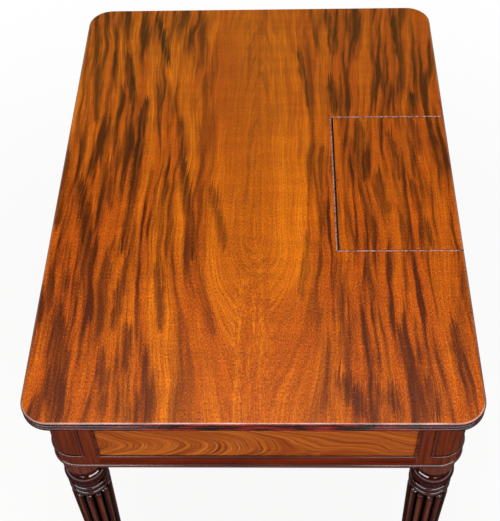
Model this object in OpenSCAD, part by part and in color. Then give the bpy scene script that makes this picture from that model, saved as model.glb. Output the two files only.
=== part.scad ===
// Writing table with a reeded edge, turned and reeded legs, one long frieze drawer,
// and a hinged flap at the middle of the back over a fitted pen and ink well.
// Sizes are in millimetres. X runs along the length, -Y is the user's side, Z is up,
// and the origin is on the floor under the middle of the top.

/* [Top] */
// Height of the upper face of the top above the floor
table_h = 740; // [710:1:770]
// Length of the top
top_l = 866; // [830:1:920]
// Depth of the top from front to back
top_w = 610; // [590:1:650]
// Thickness of the top
top_t = 18; // [16:0.5:20]
// Radius of the corners of the top
top_corner_r = 40; // [30:1:50]
// Number of reeds round the edge of the top
edge_reeds = 3; // [2:1:4]
// Flat strip between the upper arris and the first reed
edge_quirk = 0.6; // [0.3:0.1:1]
// How far the top stands past the frieze at each end
end_overhang = 18; // [14:1:24]
// How far the top stands past the frieze at the front
front_overhang = 22; // [21:0.5:28]
// How far the top stands past the frieze at the back
back_overhang = 14; // [12:0.5:18]

/* [Frieze] */
// Height of the frieze, with the astragal at its foot
frieze_h = 127.6; // [124:0.2:136]
// Thickness of the aprons at the ends and the back
apron_t = 22; // [20:1:26]
// Height of the rail under the drawer, with the astragal
lower_rail_h = 28.6; // [25:0.2:31]
// Height of the rail over the drawer
upper_rail_h = 16; // [14:0.5:18]
// Depth of the two front rails from front to back
rail_depth = 60; // [50:1:65]
// Height of the astragal round the foot of the frieze
astragal_h = 7.6; // [6:0.2:9]
// How far the astragal stands out
astragal_proud = 3; // [2:0.2:3.6]
// Width of the cock beads round the panels
bead_w = 3.4; // [2.8:0.2:4]
// How far the cock beads stand out
bead_proud = 2.5; // [2:0.1:3]
// Thickness of the figured veneer in the panels
veneer_t = 1; // [0.6:0.1:1.5]
// Outer face of the leg to the middle of its upright cock bead
corner_panel_w = 46; // [42:1:52]
// Thickness of the tenons on the aprons
tenon_t = 8; // [6:0.5:9]
// Length of the tenons on the aprons
tenon_l = 25; // [18:1:26]
// Shoulder above and below each apron tenon
tenon_shoulder = 15; // [10:1:25]
// Depth of wood outside each apron tenon
tenon_set_in = 7; // [5:0.5:8]
// Width of the stub tenons on the two front rails
stub_w = 36; // [25:1:40]
// Thickness of the stub tenons on the two front rails
stub_t = 8; // [6:0.5:9]
// Length of the stub tenons on the two front rails
stub_l = 20; // [12:1:24]
// Slack round a glued tenon, tongue or dovetail
joint_gap = 0.1; // [0.05:0.05:0.2]

/* [Legs] */
// Width of the square block at the head of each leg
leg_block = 67; // [64:1:72]
// Radius of the plain drum under the block
drum_r = 30.6; // [29:0.2:32]
// Height of the plain drum
drum_h = 29.4; // [26:0.2:33]
// Height of the neck between the drum and the torus
capital_neck_h = 15.4; // [11:0.2:18]
// Radius of the big torus
torus_r = 32; // [31:0.2:33.4]
// Height of the big torus
torus_h = 24.6; // [20:0.2:28]
// Swell of the big torus
torus_swell = 6.4; // [5:0.2:8]
// Height of the cove under the torus
cove_h = 6.8; // [4:0.2:9]
// Radius of the two rings under the torus
ring_r = 30.6; // [29.6:0.2:32.4]
// Height of each of the two rings
ring_h = 8.8; // [7:0.2:11]
// Swell of the two rings
ring_swell = 3; // [2:0.25:3.5]
// Radius at the foot of the grooves between the turnings
groove_r = 26; // [24:0.5:27.5]
// Height of the open grooves above and below the lower ring
groove_h = 4.4; // [3:0.2:6]
// Number of reeds round the shaft
reed_n = 12; // [10:1:14]
// Radius over the reeds at their heads
shaft_top_r = 30.8; // [29.8:0.2:32]
// Radius over the reeds at mid height
shaft_mid_r = 26.8; // [25.4:0.2:29]
// Radius over the reeds at the ankle
shaft_ankle_r = 22.4; // [21:0.2:24.4]
// Height of the ankle collar
ankle_h = 14; // [10:0.5:18]
// Radius of the ankle collar
ankle_r = 24; // [22:0.5:27]
// Height of the turned foot below the ankle neck
foot_h = 80; // [60:1:95]
// Distance from the widest place of the foot up to its neck
foot_shoulder_h = 14; // [10:1:20]
// Radius of the foot where it swells most
foot_r = 22; // [19:0.5:25]
// Radius of the foot at the floor
foot_tip_r = 14; // [12:0.5:17]
// Radius of the neck between the foot and the ankle collar
foot_neck_r = 16; // [14:0.5:18]
// Height of the neck between the foot and the ankle collar
foot_neck_h = 7; // [4:0.5:12]

/* [Drawer] */
// Gap between the drawer's back and the rail behind it
drawer_back_gap = 10.5; // [6:0.5:30]
// Thickness of the drawer front
drawer_front_t = 20; // [18:0.5:24]
// Thickness of the drawer sides and back
drawer_side_t = 10; // [8:0.5:12]
// Height of the drawer sides
drawer_side_h = 80; // [72:1:81]
// Thickness of the drawer bottom
drawer_bottom_t = 6; // [5:0.5:8]
// Height of the drawer bottom above the lower edge of the sides
drawer_bottom_up = 8; // [7:0.5:10]
// Depth of the grooves that hold the drawer bottom
drawer_groove = 5; // [4:0.5:6]
// Wood left in front of the lapped dovetails
dovetail_lap = 6; // [4:0.5:8]
// Number of dovetails at each corner
dovetails = 4; // [3:1:5]
// Width between neighbouring dovetails at their wide ends
tail_gap = 6.8; // [5:0.2:9]
// How much each dovetail flares at each side
tail_flare = 1.6; // [1:0.1:2.2]
// Gap at each side of the drawer
drawer_gap_x = 0.8; // [0.4:0.1:1.5]
// Gap above and below the drawer front
drawer_gap_z = 0.6; // [0.4:0.1:1]
// Gap between the drawer sides and what they slide on
slide_gap = 0.3; // [0.2:0.05:0.4]
// Distance of each knob from the middle of the drawer
knob_x = 190; // [150:5:250]
// Radius of the knob
knob_r = 16; // [13:0.5:18]
// How far the knob stands out
knob_proud = 21; // [18:0.5:21]
// Swell of the knob's head
knob_swell = 6; // [4:0.5:7]
// Radius of the knob's stem
knob_stem_r = 7.5; // [6.5:0.5:9]
// Length of the stem between the drawer front and the head of the knob
knob_stem_l = 7; // [4:0.5:9]
// Radius of the spigot that passes through the drawer front
spigot_r = 6; // [4:0.5:6]

/* [Drawer supports] */
// Width of the runners and kickers
runner_w = 60; // [55:1:70]
// Thickness of the runners
runner_t = 20; // [16:1:24]
// Height of the guides that keep the drawer straight
guide_h = 15; // [10:1:20]
// Distance of each drawer stop from the middle
stop_x = 200; // [120:5:280]
// Length of each drawer stop along the rail
stop_l = 40; // [25:1:60]
// Width of each drawer stop from front to back
stop_w = 30; // [20:1:32]
// Height of each drawer stop
stop_h = 5; // [3:0.5:6]

/* [Flap] */
// Width of the opening in the top, over its cock bead
open_w = 288; // [260:1:310]
// Depth of the opening in the top, from the back edge
open_d = 186; // [176:1:192]
// Width of the cock bead round the opening
flap_bead_w = 2.5; // [2:0.1:3]
// How far that cock bead stands above the top
flap_bead_proud = 0.8; // [0.4:0.1:1.2]
// Gap along the inner edge of the flap
flap_gap_inner = 2.7; // [2:0.1:3.5]
// Gap at each end of the flap
flap_gap_end = 0.7; // [0.5:0.1:1]
// Gap between the flap and what it rests on
flap_seat_gap = 0.3; // [0.2:0.05:0.4]
// Width of the lug in the inner edge of the flap
lug_w = 4; // [3:0.5:8]
// Thickness of the lug
lug_t = 3; // [2:0.5:5]
// How deep the lug is let into the flap
lug_in = 3; // [2:0.5:8]
// Drop of the lug below the face of the flap
lug_drop = 0.4; // [0.2:0.1:1]
// Gap between the lug and the cock bead
lug_gap = 0.3; // [0.2:0.1:0.5]

/* [Well] */
// How far the walls of the well stand in under the flap
ledge = 10; // [8:1:14]
// Thickness of the walls of the well
well_wall = 16; // [14:1:20]
// Height of the walls of the well
well_wall_h = 74; // [70:1:80]
// Depth of the well under the flap
well_depth = 58; // [48:1:60]
// Thickness of the floor of the well
well_floor_t = 8; // [6:0.5:9]
// Depth of the grooves that hold the floor of the well
well_groove = 5; // [4:0.5:6]
// Thickness of the divisions in the well
division_t = 5; // [4:0.5:7]
// Height of the divisions in the well
division_h = 40; // [30:1:46]
// Width of each ink bay at the ends of the well
ink_bay_w = 65; // [55:1:75]
// Width of the pen tray from front to back
tray_w = 56; // [48:1:62]
// Height of the pen tray
tray_h = 30; // [24:1:38]
// Width of the troughs in the pen tray
trough_w = 42; // [34:1:44]
// Depth of the troughs in the pen tray
trough_depth = 15; // [10:1:20]
// Length of the short trough for wafers and nibs; the long one for pens takes the rest
short_trough = 54; // [40:1:60]
// Wood between the two troughs, and at each end of the tray
trough_land = 10; // [6:0.5:12]

/* [Hinges] */
// Distance of each hinge from the end of the flap
hinge_in = 26; // [18:1:50]
// Length of each hinge
hinge_l = 40; // [35:1:50]
// Number of knuckles in each hinge
knuckles = 5; // [3:2:7]
// Outer radius of the knuckles
knuckle_r = 3.5; // [3:0.1:3.8]
// Radius of the hinge pin
pin_r = 1.25; // [1:0.05:1.5]
// Running clearance round the hinge pin
pin_gap = 0.05; // [0.03:0.01:0.08]
// Thickness of the hinge leaves
leaf_t = 1.5; // [1.2:0.1:2]
// Width of the leaves, from the pin to the inner edge
leaf_w = 22; // [18:0.5:24]
// Distance of the pin behind the back of the frieze
pin_out = 4; // [3.9:0.1:4.6]
// Clearance round the knuckles, to the flap and to the other leaf
knuckle_gap = 0.4; // [0.3:0.05:0.5]
// Gap between one knuckle and the next
knuckle_end_gap = 0.3; // [0.2:0.05:0.4]

/* [Glue blocks] */
// Length of each glue block under the top
block_l = 40; // [25:1:60]
// Size of each glue block across its two glued faces
block_s = 15; // [10:1:20]

/* [Hidden] */
$fn = 64;
cut = 1;

mahogany = [0.42, 0.16, 0.06];
dark_mahogany = [0.24, 0.08, 0.05];
figured = [0.66, 0.32, 0.1];
oak = [0.62, 0.46, 0.28];
pine = [0.74, 0.58, 0.36];
brass = [0.78, 0.62, 0.3];

half_l = top_l / 2;
half_w = top_w / 2;
top_z0 = table_h - top_t;
frieze_z0 = top_z0 - frieze_h;
end_x = half_l - end_overhang;
front_y = -half_w + front_overhang;
back_y = half_w - back_overhang;
leg_h = leg_block / 2;
leg_x = end_x - leg_h;
leg_front_y = front_y + leg_h;
leg_back_y = back_y - leg_h;
bay_x = end_x - leg_block;
bay_y0 = front_y + leg_block;
bay_y1 = back_y - leg_block;
edge_reed_r = (top_t - edge_quirk) / (2 * edge_reeds);

panel_z0 = frieze_z0 + lower_rail_h;
panel_z1 = top_z0 - upper_rail_h;
panel_h = panel_z1 - panel_z0;
stub_upper_z = top_z0 - upper_rail_h / 2 - stub_t / 2;
stub_lower_z = frieze_z0 + lower_rail_h / 2 - stub_t / 2;

flap_y0 = half_w - open_d + flap_bead_w + flap_gap_inner;
flap_w = open_w - 2 * (flap_bead_w + flap_gap_end);
flap_z0 = top_z0 + flap_seat_gap;

well_x = open_w / 2 - flap_bead_w - ledge;
well_y0 = half_w - open_d + flap_bead_w + ledge;
well_y1 = back_y - apron_t;
well_floor_z = top_z0 - well_depth;
division_y = well_y0 + tray_w;
long_trough = 2 * well_x - 3 * trough_land - short_trough;

pin_y = back_y + pin_out;
pin_z = top_z0 + flap_seat_gap / 2;
hinge_x = flap_w / 2 - hinge_in - hinge_l / 2;
knuckle_l = hinge_l / knuckles;
leaf_edge_y = pin_y - knuckle_r - knuckle_gap;

drawer_x = bay_x - drawer_gap_x;
drawer_z0 = panel_z0 + slide_gap;
drawer_y1 = well_y0 - well_wall - drawer_back_gap;
drawer_floor_z = drawer_z0 + drawer_bottom_up;
drawer_floor_top = drawer_floor_z + drawer_bottom_t;
front_z0 = panel_z0 + drawer_gap_z;
front_h = panel_h - 2 * drawer_gap_z;
knob_z = front_z0 + front_h / 2;
tail_pitch = drawer_side_h / dovetails;
tail_tip = tail_pitch - tail_gap;
tail_root = tail_tip - 2 * tail_flare;
tail_l = drawer_front_t - dovetail_lap;
front_back_y = front_y + drawer_front_t;
back_front_y = drawer_y1 - drawer_side_t;

reed_half = 180 / reed_n;
reed_facets = 8;
reed_fill = 0.86;
reed_core = 0.9;
dome_steps = [0.4, 0.7, 0.9];
shaft_z0 = foot_h + foot_neck_h + ankle_h;
capital_h = drum_h + capital_neck_h + torus_h + cove_h + 2 * (ring_h + groove_h);
shaft_z1 = frieze_z0 - capital_h;

// Box between two opposite corners
module block(a, b) {
    translate(a) cube(b - a);
}

// Band of a turning: its outline bulges by swell to the radius r
module band(z, h, r, swell) {
    arc = (h * h / 4 + swell * swell) / (2 * swell);
    intersection() {
        translate([0, z]) square([r, h]);
        translate([r - arc, z + h / 2]) circle(arc);
    }
}

// Section of a bead on a face: x is out of the face, y runs from 0 to the width
module bead_section(w, proud) {
    flat = proud - w / 2;
    square([flat, w]);
    translate([flat, w / 2]) circle(w / 2);
}

// The bead's section, without what would lie inside the face
module bead_outline(w, proud) {
    intersection() {
        bead_section(w, proud);
        square([proud, w]);
    }
}

// Straight bead on the plane x = 0, from y0 to y1, with its lower edge at z
module bead_level(y0, y1, z, w, proud) {
    translate([0, y1, z]) rotate([90, 0, 0]) linear_extrude(y1 - y0) bead_outline(w, proud);
}

// Upright bead on the plane x = 0, from z0 to z1, with its near edge at y
module bead_upright(z0, z1, y, w, proud) {
    translate([0, y, z0]) linear_extrude(z1 - z0) bead_outline(w, proud);
}

// Frame of beads on the plane x = 0 round a panel
module bead_frame(y0, y1, z0, z1) {
    bead_level(y0, y1, z0, bead_w, bead_proud);
    bead_level(y0, y1, z1 - bead_w, bead_w, bead_proud);
    bead_upright(z0, z1, y0, bead_w, bead_proud);
    bead_upright(z0, z1, y1 - bead_w, bead_w, bead_proud);
}

// Section of the reeded edge, from the middle of the board at x = 0 out to x = reach
module edge_section(reach) {
    square([reach - edge_reed_r, top_t]);
    for (i = [0:edge_reeds - 1]) {
        translate([reach - edge_reed_r, edge_reed_r * (2 * i + 1)]) circle(edge_reed_r);
    }
}

// The whole board of the top, with reeds all round its edge
module board() {
    straight_x = half_l - top_corner_r;
    straight_y = half_w - top_corner_r;
    translate([-straight_x, 0, top_z0]) rotate([90, 0, 90]) linear_extrude(2 * straight_x) {
        edge_section(half_w);
        mirror([1, 0]) edge_section(half_w);
    }
    for (side = [0, 1]) mirror([side, 0, 0]) {
        translate([straight_x, straight_y, top_z0]) rotate([90, 0, 0])
        linear_extrude(2 * straight_y) edge_section(top_corner_r);
        for (rear = [0, 1]) mirror([0, rear, 0])
        translate([straight_x, straight_y, top_z0])
        rotate_extrude(angle = 90) edge_section(top_corner_r);
    }
}

module top() {
    color(figured) difference() {
        board();
        block([-open_w / 2, half_w - open_d, top_z0 - cut], [open_w / 2, half_w + cut, table_h + cut]);
    }
}

// Cock bead let in round three sides of the opening in the top
module flap_bead() {
    color(dark_mahogany) {
        bead_h = top_t + flap_bead_proud;
        reach = half_w - edge_reed_r;
        inner = half_w - open_d;
        for (side = [0, 1]) mirror([side, 0, 0])
        translate([open_w / 2, reach, top_z0]) rotate([90, 0, 0])
        linear_extrude(reach - inner) mirror([1, 0]) strip_section(bead_h);
        translate([-open_w / 2, inner, top_z0]) rotate([90, 0, 90])
        linear_extrude(open_w) strip_section(bead_h);
    }
}

// Section of a thin strip on edge, with a round top
module strip_section(h) {
    square([flap_bead_w, h - flap_bead_w / 2]);
    translate([flap_bead_w / 2, h - flap_bead_w / 2]) circle(flap_bead_w / 2);
}

// Radius of the ring of reed centres under an outer radius
function reed_ring(outer) = outer / (1 + reed_fill * sin(reed_half));

// Radius of the shaft's outline, phi degrees from a reed's crest; dome is 0 in the
// straight part of the reeds and 1 where their round heads end
function reed_outline(phi, outer, dome) =
    let (ring = reed_ring(outer), reed = (outer - ring) * sqrt(1 - dome * dome))
    let (rest = reed * reed - pow(ring * sin(phi), 2))
    rest > 0 ? max(reed_core * ring, ring * cos(phi) + sqrt(rest)) : reed_core * ring;

// Reeded shaft through stations of [height, outer radius, dome]
module reeded_shaft(stations) {
    n = reed_n * reed_facets;
    m = len(stations);
    points = [for (s = stations) for (k = [0:n - 1])
        let (a = 360 * k / n, phi = (a + reed_half) % (2 * reed_half) - reed_half)
        let (r = reed_outline(phi, s[1], s[2]))
        [r * cos(a), r * sin(a), s[0]]];
    sides = [for (i = [0:m - 2]) for (k = [0:n - 1]) let (q = (k + 1) % n)
        [i * n + k, (i + 1) * n + k, (i + 1) * n + q, i * n + q]];
    foot = [[for (k = [0:n - 1]) k]];
    head = [[for (k = [n - 1:-1:0]) (m - 1) * n + k]];
    polyhedron(points = points, faces = concat(foot, sides, head));
}

// Profile of the turnings between the block and the reeds
module capital_profile() {
    z_torus = frieze_z0 - drum_h - capital_neck_h - torus_h;
    z_upper = z_torus - cove_h - ring_h;
    z_lower = z_upper - groove_h - ring_h;
    translate([0, shaft_z1 - cut]) square([groove_r, capital_h + cut]);
    translate([0, frieze_z0 - drum_h]) square([drum_r, drum_h]);
    band(z_torus, torus_h, torus_r, torus_swell);
    band(z_upper, ring_h, ring_r, ring_swell);
    band(z_lower, ring_h, ring_r, ring_swell);
}

// Profile of the foot, its neck and the ankle collar
module foot_profile() {
    steps = 8;
    swell_z = foot_h - foot_shoulder_h;
    polygon(concat(
        [[0, 0], [foot_tip_r, 0]],
        [for (i = [1:steps]) let (t = i / steps)
            [foot_tip_r + (foot_r - foot_tip_r) * sin(90 * t), swell_z * t]],
        [for (i = [1:steps]) let (t = i / steps)
            [foot_neck_r + (foot_r - foot_neck_r) * cos(90 * t), swell_z + (foot_h - swell_z) * sin(90 * t)]],
        [[foot_neck_r, shaft_z0 - ankle_h + cut], [0, shaft_z0 - ankle_h + cut]]));
    band(shaft_z0 - ankle_h, ankle_h, ankle_r, ring_swell);
}

// One leg with its axis at the origin and its outer corner towards +X and +Y
module leg(front) {
    head = reed_ring(shaft_top_r);
    dome_h = shaft_top_r - head;
    ankle = reed_ring(shaft_ankle_r);
    heel_h = shaft_ankle_r - ankle;
    heads_z = shaft_z1 - dome_h;
    heels_z = shaft_z0 + heel_h;
    color(dark_mahogany) difference() {
        union() {
            translate([0, 0, frieze_z0]) linear_extrude(frieze_h) {
                circle(leg_h);
                translate([-leg_h, -leg_h]) square([leg_block, leg_h]);
                translate([-leg_h, 0]) square([leg_h, leg_h]);
            }
            rotate_extrude() capital_profile();
            reeded_shaft(concat(
                [[shaft_z0 - cut, shaft_ankle_r, 1]],
                [for (i = [len(dome_steps) - 1:-1:0]) let (t = dome_steps[i])
                    [heels_z - t * heel_h, shaft_ankle_r, t]],
                [[heels_z, shaft_ankle_r, 0], [(shaft_z0 + shaft_z1) / 2, shaft_mid_r, 0]],
                [[heads_z, shaft_top_r, 0]],
                [for (t = dome_steps) [heads_z + t * dome_h, shaft_top_r, t]],
                [[shaft_z1 + cut, shaft_top_r, 1]]));
            rotate_extrude() foot_profile();
        }
        apron_mortise();
        mirror([1, -1, 0]) if (!front) apron_mortise();
        if (front) {
            stub_mortise(stub_upper_z);
            stub_mortise(stub_lower_z);
        }
    }
}

// Mortise for an apron's tenon, in the face towards -Y
module apron_mortise() {
    x1 = leg_h - tenon_set_in + joint_gap;
    x0 = x1 - tenon_t - 2 * joint_gap;
    block([x0, -leg_h - cut, frieze_z0 + tenon_shoulder - joint_gap],
        [x1, -leg_h + tenon_l + joint_gap, top_z0 - tenon_shoulder + joint_gap]);
}

// Mortise for a front rail's stub tenon, in the face towards -X
module stub_mortise(z) {
    y0 = leg_h - rail_depth / 2 - stub_w / 2 - joint_gap;
    block([-leg_h - cut, y0, z - joint_gap],
        [-leg_h + stub_l + joint_gap, y0 + stub_w + 2 * joint_gap, z + stub_t + joint_gap]);
}

module leg_front_left() {
    translate([-leg_x, leg_front_y, 0]) mirror([1, 0, 0]) mirror([0, 1, 0]) leg(true);
}

module leg_front_right() {
    translate([leg_x, leg_front_y, 0]) mirror([0, 1, 0]) leg(true);
}

module leg_back_left() {
    translate([-leg_x, leg_back_y, 0]) mirror([1, 0, 0]) leg(false);
}

module leg_back_right() {
    translate([leg_x, leg_back_y, 0]) leg(false);
}

// Apron board in the plane of y and z, its outer face at x = 0, with tenons at both ends
module apron(y0, y1) {
    block([-apron_t, y0, frieze_z0], [0, y1, top_z0]);
    block([-tenon_set_in - tenon_t, y0 - tenon_l, frieze_z0 + tenon_shoulder],
        [-tenon_set_in, y1 + tenon_l, top_z0 - tenon_shoulder]);
}

// Sinking for the veneer inside the frame of cock beads
module panel_field(y0, y1, grow) {
    block([-veneer_t, y0 + bead_w, panel_z0 + bead_w], [grow, y1 - bead_w, panel_z1 - bead_w]);
}

module apron_right() {
    color(mahogany) translate([end_x, 0, 0]) difference() {
        apron(bay_y0, bay_y1);
        panel_field(bay_y0, bay_y1, cut);
    }
}

module apron_left() {
    mirror([1, 0, 0]) apron_right();
}

module apron_back() {
    color(mahogany) difference() {
        translate([0, back_y, 0]) rotate(90) difference() {
            apron(-bay_x, bay_x);
            panel_field(-bay_x, bay_x, cut);
        }
        floor_slot();
        for (side = [0, 1]) mirror([side, 0, 0]) {
            block([hinge_x - hinge_l / 2 - joint_gap, pin_y - leaf_w - joint_gap, top_z0 - leaf_t],
                [hinge_x + hinge_l / 2 + joint_gap, back_y + cut, top_z0 + cut]);
        }
    }
}

module panel_right() {
    color(figured) translate([end_x, 0, 0]) panel_field(bay_y0, bay_y1, 0);
}

module panel_left() {
    mirror([1, 0, 0]) panel_right();
}

module panel_back() {
    color(figured) translate([0, back_y, 0]) rotate(90) panel_field(-bay_x, bay_x, 0);
}

module panel_beads_right() {
    color(dark_mahogany) translate([end_x, 0, 0]) bead_frame(bay_y0, bay_y1, panel_z0, panel_z1);
}

module panel_beads_left() {
    mirror([1, 0, 0]) panel_beads_right();
}

module panel_beads_back() {
    color(dark_mahogany) translate([0, back_y, 0]) rotate(90) bead_frame(-bay_x, bay_x, panel_z0, panel_z1);
}

// Cock beads round the corner panel of a leg, which turn with its rounded corner
module corner_beads() {
    near = leg_h - corner_panel_w - bead_w / 2;
    color(dark_mahogany) {
        for (turn = [0, 1]) mirror([turn, -turn, 0]) translate([leg_h, 0, 0]) {
            bead_upright(panel_z0, panel_z1, near, bead_w, bead_proud);
            bead_level(near, 0, panel_z0, bead_w, bead_proud);
            bead_level(near, 0, panel_z1 - bead_w, bead_w, bead_proud);
        }
        for (z = [panel_z0, panel_z1 - bead_w]) {
            rotate_extrude(angle = 90) translate([leg_h, z]) bead_outline(bead_w, bead_proud);
        }
    }
}

module corner_beads_front_left() {
    translate([-leg_x, leg_front_y, 0]) rotate(180) corner_beads();
}

module corner_beads_front_right() {
    translate([leg_x, leg_front_y, 0]) rotate(-90) corner_beads();
}

module corner_beads_back_left() {
    translate([-leg_x, leg_back_y, 0]) rotate(90) corner_beads();
}

module corner_beads_back_right() {
    translate([leg_x, leg_back_y, 0]) corner_beads();
}

// Section of the astragal: x is out of the frieze, y runs up from its foot
module astragal_section() {
    arc = (astragal_h * astragal_h / 4 + astragal_proud * astragal_proud) / (2 * astragal_proud);
    intersection() {
        square([astragal_proud, astragal_h]);
        translate([astragal_proud - arc, astragal_h / 2]) circle(arc);
    }
}

// Astragal on the plane x = 0
module astragal(y0, y1) {
    translate([0, y1, frieze_z0]) rotate([90, 0, 0]) linear_extrude(y1 - y0) astragal_section();
}

module astragal_right() {
    color(dark_mahogany) translate([end_x, 0, 0]) astragal(leg_front_y, leg_back_y);
}

module astragal_left() {
    mirror([1, 0, 0]) astragal_right();
}

module astragal_back() {
    color(dark_mahogany) translate([0, back_y, 0]) rotate(90) astragal(-leg_x, leg_x);
}

module astragal_front() {
    color(dark_mahogany) translate([0, front_y, 0]) rotate(-90) astragal(-leg_x, leg_x);
}

module astragal_corners() {
    color(dark_mahogany) for (side = [0, 1]) mirror([side, 0, 0]) {
        translate([leg_x, leg_back_y, frieze_z0])
        rotate_extrude(angle = 90) translate([leg_h, 0]) astragal_section();
        translate([leg_x, leg_front_y, frieze_z0]) mirror([0, 1, 0])
        rotate_extrude(angle = 90) translate([leg_h, 0]) astragal_section();
    }
}

// Front rail between the legs, with a stub tenon at each end
module front_rail(z0, z1, stub_z) {
    stub_y = front_y + rail_depth / 2 - stub_w / 2;
    color(mahogany) {
        block([-bay_x, front_y, z0], [bay_x, front_y + rail_depth, z1]);
        block([-bay_x - stub_l, stub_y, stub_z], [bay_x + stub_l, stub_y + stub_w, stub_z + stub_t]);
    }
}

module rail_front_upper() {
    front_rail(panel_z1, top_z0, stub_upper_z);
}

module rail_front_lower() {
    front_rail(frieze_z0, panel_z0, stub_lower_z);
}

// Room for the edges of the well floor in the four walls round it
module floor_slot() {
    block([-well_x - well_groove - joint_gap, well_y0 - well_groove - joint_gap, well_floor_z - well_floor_t],
        [well_x + well_groove + joint_gap, well_y1 + well_groove + joint_gap, well_floor_z]);
}

// Rail behind the drawer, which is also the front wall of the well
module cross_rail() {
    color(pine) difference() {
        block([-end_x + apron_t, well_y0 - well_wall, top_z0 - well_wall_h],
            [end_x - apron_t, well_y0, top_z0]);
        floor_slot();
    }
}

module well_side_right() {
    color(mahogany) difference() {
        block([well_x, well_y0, top_z0 - well_wall_h], [well_x + well_wall, well_y1, top_z0]);
        floor_slot();
    }
}

module well_side_left() {
    mirror([1, 0, 0]) well_side_right();
}

module well_floor() {
    color(mahogany)
    block([-well_x - well_groove, well_y0 - well_groove, well_floor_z - well_floor_t],
        [well_x + well_groove, well_y1 + well_groove, well_floor_z]);
}

module well_division_long() {
    color(mahogany)
    block([-well_x, division_y, well_floor_z], [well_x, division_y + division_t, well_floor_z + division_h]);
}

module well_division_right() {
    color(mahogany)
    block([well_x - ink_bay_w - division_t, division_y + division_t, well_floor_z],
        [well_x - ink_bay_w, well_y1, well_floor_z + division_h]);
}

module well_division_left() {
    mirror([1, 0, 0]) well_division_right();
}

// Solid pen tray with a long and a short trough scooped out of it
module pen_tray() {
    arc = (trough_w * trough_w / 4 + trough_depth * trough_depth) / (2 * trough_depth);
    tray_z1 = well_floor_z + tray_h;
    color(mahogany) difference() {
        block([-well_x, well_y0, well_floor_z], [well_x, division_y, tray_z1]);
        for (trough = [
            [-well_x + trough_land, long_trough],
            [well_x - trough_land - short_trough, short_trough]])
        translate([trough[0], well_y0 + tray_w / 2, tray_z1 - trough_depth + arc])
        rotate([0, 90, 0]) cylinder(h = trough[1], r = arc);
    }
}

// Strip beside the drawer, notched round the front leg so that it meets the front rail
module side_strip(y1, z0, z1) {
    x1 = end_x - apron_t;
    block([x1 - runner_w, bay_y0, z0], [x1, y1, z1]);
    block([x1 - runner_w, front_y + rail_depth, z0], [bay_x, bay_y0, z1]);
}

module runner_right() {
    color(oak) side_strip(bay_y1, panel_z0 - runner_t, panel_z0);
}

module runner_left() {
    mirror([1, 0, 0]) runner_right();
}

module kicker_right() {
    color(oak) side_strip(well_y0 - well_wall, panel_z1, top_z0);
}

module kicker_left() {
    mirror([1, 0, 0]) kicker_right();
}

module guide_right() {
    color(oak) block([bay_x, bay_y0, panel_z0], [end_x - apron_t, bay_y1, panel_z0 + guide_h]);
}

module guide_left() {
    mirror([1, 0, 0]) guide_right();
}

module drawer_stops() {
    y0 = front_y + drawer_front_t + slide_gap;
    color(oak) for (side = [0, 1]) mirror([side, 0, 0])
    block([stop_x - stop_l / 2, y0, panel_z0], [stop_x + stop_l / 2, y0 + stop_w, panel_z0 + stop_h]);
}

// Three-cornered blocks glued into the angle of the back apron and the top
module glue_blocks() {
    inner = well_x + well_wall;
    color(pine) for (side = [0, 1]) mirror([side, 0, 0]) {
        for (place = [1, 2])
        translate([inner + (bay_x - inner) * place / 3 - block_l / 2, well_y1, top_z0])
        rotate([90, 0, 90]) linear_extrude(block_l) polygon([[0, 0], [-block_s, 0], [0, -block_s]]);
    }
}

// Hinge leaf with its pin along X through the origin; first is 0 or 1, the first knuckle it owns
module hinge_leaf(first, z0, z1) {
    color(brass) difference() {
        union() {
            block([-hinge_l / 2, -leaf_w, z0], [hinge_l / 2, leaf_edge_y - pin_y, z1]);
            for (k = [first:2:knuckles - 1]) {
                x0 = -hinge_l / 2 + k * knuckle_l + knuckle_end_gap / 2;
                block([x0, leaf_edge_y - pin_y - cut, z0], [x0 + knuckle_l - knuckle_end_gap, 0, z1]);
                translate([x0, 0, 0]) rotate([0, 90, 0])
                cylinder(h = knuckle_l - knuckle_end_gap, r = knuckle_r);
            }
        }
        translate([-hinge_l / 2 - cut, 0, 0]) rotate([0, 90, 0])
        cylinder(h = hinge_l + 2 * cut, r = pin_r + pin_gap);
    }
}

module hinge_leaf_fixed_right() {
    translate([hinge_x, pin_y, pin_z])
    hinge_leaf(0, -flap_seat_gap / 2 - leaf_t, -flap_seat_gap / 2);
}

module hinge_leaf_fixed_left() {
    mirror([1, 0, 0]) hinge_leaf_fixed_right();
}

module hinge_leaf_flap_right() {
    translate([hinge_x, pin_y, pin_z])
    hinge_leaf(1, flap_seat_gap / 2, flap_seat_gap / 2 + leaf_t);
}

module hinge_leaf_flap_left() {
    mirror([1, 0, 0]) hinge_leaf_flap_right();
}

module hinge_pin_right() {
    color(brass) translate([hinge_x - hinge_l / 2, pin_y, pin_z]) rotate([0, 90, 0])
    cylinder(h = hinge_l, r = pin_r);
}

module hinge_pin_left() {
    mirror([1, 0, 0]) hinge_pin_right();
}

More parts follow.
